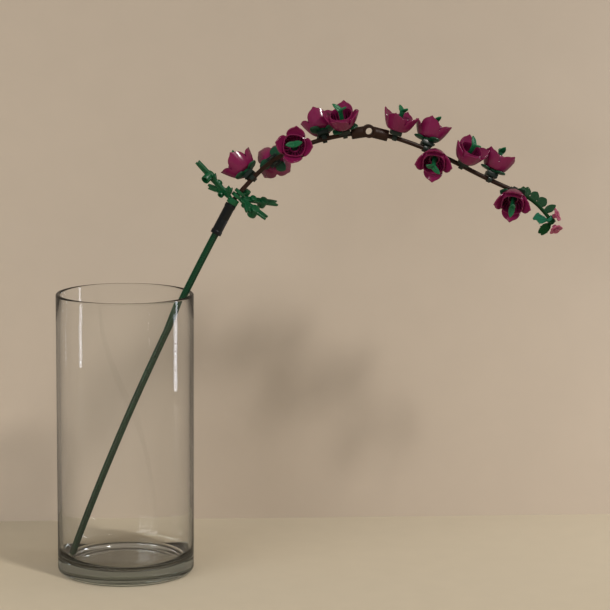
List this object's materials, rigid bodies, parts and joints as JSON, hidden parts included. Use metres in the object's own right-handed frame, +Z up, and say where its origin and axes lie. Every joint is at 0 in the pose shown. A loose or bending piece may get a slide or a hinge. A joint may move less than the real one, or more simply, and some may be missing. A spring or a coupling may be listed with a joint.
{
  "type": "clip-together toy blossom spray in a glass vase",
  "caption": "Bent spray of moulded four-petal blossoms clipped to a jointed branch, leaning in a clear glass cylinder vase.",
  "frame": {"origin": "the vase's axis at its flat underside", "axes": "+Z up along the vase's axis; +X the way the spray reaches over the rim, along the plane of its stem and branch; +Y to the back, across the vase"},
  "size_m": [0.3583, 0.097, 0.3359],
  "materials": {
    "clear_glass": "clear, polished, pressed glass",
    "green_plastic": "moulded, semi-gloss",
    "dark_green_plastic": "moulded, soft, satin",
    "grey_green_plastic": "moulded, satin",
    "teal_plastic": "moulded, satin",
    "brown_plastic": "moulded, satin",
    "black_plastic": "moulded, soft, satin",
    "magenta_plastic": "moulded, glossy",
    "rose_plastic": "moulded, semi-gloss"
  },
  "bodies": {
    "root": {"branch_elbow": "brown_plastic", "branch_rod_lower": "brown_plastic", "branch_rod_upper": "brown_plastic", "clip_plate_01": "grey_green_plastic", "clip_plate_02": "grey_green_plastic", "clip_plate_03": "grey_green_plastic", "clip_plate_04": "grey_green_plastic", "clip_plate_05": "grey_green_plastic", "clip_plate_06": "grey_green_plastic", "clip_plate_07": "grey_green_plastic", "clip_plate_08": "grey_green_plastic", "clip_plate_09": "grey_green_plastic", "clip_plate_10": "grey_green_plastic", "clip_plate_11": "grey_green_plastic", "glass_vase": "clear_glass", "leaf_sprig_back": "green_plastic", "leaf_sprig_left": "green_plastic", "leaf_sprig_right": "green_plastic", "leaf_whorl_01": "green_plastic", "leaf_whorl_02": "green_plastic", "leaf_whorl_04": "green_plastic", "leaf_whorl_05": "green_plastic", "leaf_whorl_07": "green_plastic", "leaf_whorl_10": "green_plastic", "leaf_whorl_11": "green_plastic", "petals_01": "magenta_plastic", "petals_02": "magenta_plastic", "petals_03": "magenta_plastic", "petals_04": "magenta_plastic", "petals_05": "magenta_plastic", "petals_06": "magenta_plastic", "petals_07": "magenta_plastic", "petals_08": "magenta_plastic", "petals_09": "magenta_plastic", "petals_10": "magenta_plastic", "petals_11": "magenta_plastic", "sprout_01": "green_plastic", "sprout_02": "green_plastic", "sprout_03": "green_plastic", "sprout_04": "green_plastic", "sprout_05": "green_plastic", "sprout_06": "green_plastic", "sprout_07": "green_plastic", "sprout_08": "green_plastic", "sprout_09": "green_plastic", "sprout_10": "green_plastic", "sprout_11": "green_plastic", "stem_rod": "green_plastic", "stem_sleeve": "black_plastic", "tip_blossom_lower": "rose_plastic", "tip_blossom_upper": "rose_plastic", "tip_leaf_dark": "dark_green_plastic", "tip_leaf_teal": "teal_plastic", "tip_vine": "dark_green_plastic"}
  },
  "joints": []
}
